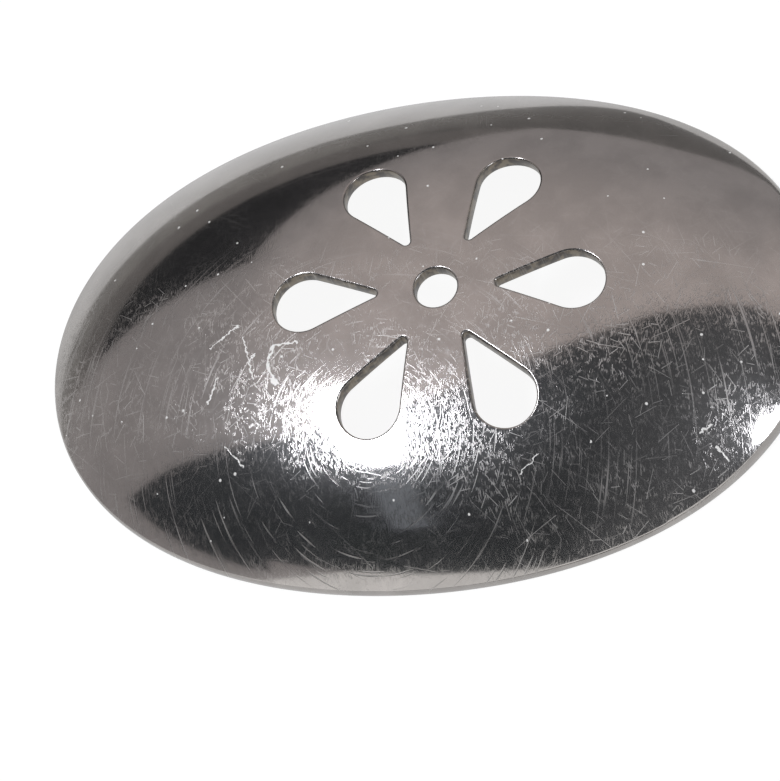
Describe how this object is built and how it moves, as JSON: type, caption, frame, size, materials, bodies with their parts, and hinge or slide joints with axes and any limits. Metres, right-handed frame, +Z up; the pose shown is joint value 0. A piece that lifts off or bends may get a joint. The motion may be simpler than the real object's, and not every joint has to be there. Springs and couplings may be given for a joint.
{
  "type": "ice spoon",
  "caption": "Hollow-handled ice spoon with an oval bowl pierced by a flower of teardrop holes, lying face down on its rim.",
  "frame": {"origin": "centre of the bounding box's bottom face: the table under the middle of the spoon's length", "axes": "+X from the tip of the bowl to the butt of the handle, +Y across, +Z up from the table, on the side of the bowl's convex back"},
  "size_m": [0.196, 0.046, 0.0101],
  "materials": {
    "bowl_steel": "polished, scratched by use",
    "handle_silver": "polished plate, finely scratched",
    "cement": "dull dark filling"
  },
  "bodies": {
    "root": {"bowl": "bowl_steel", "handle_collar": "handle_silver", "handle_front_shell": "handle_silver", "handle_back_shell": "handle_silver", "handle_cement": "cement"}
  },
  "joints": []
}
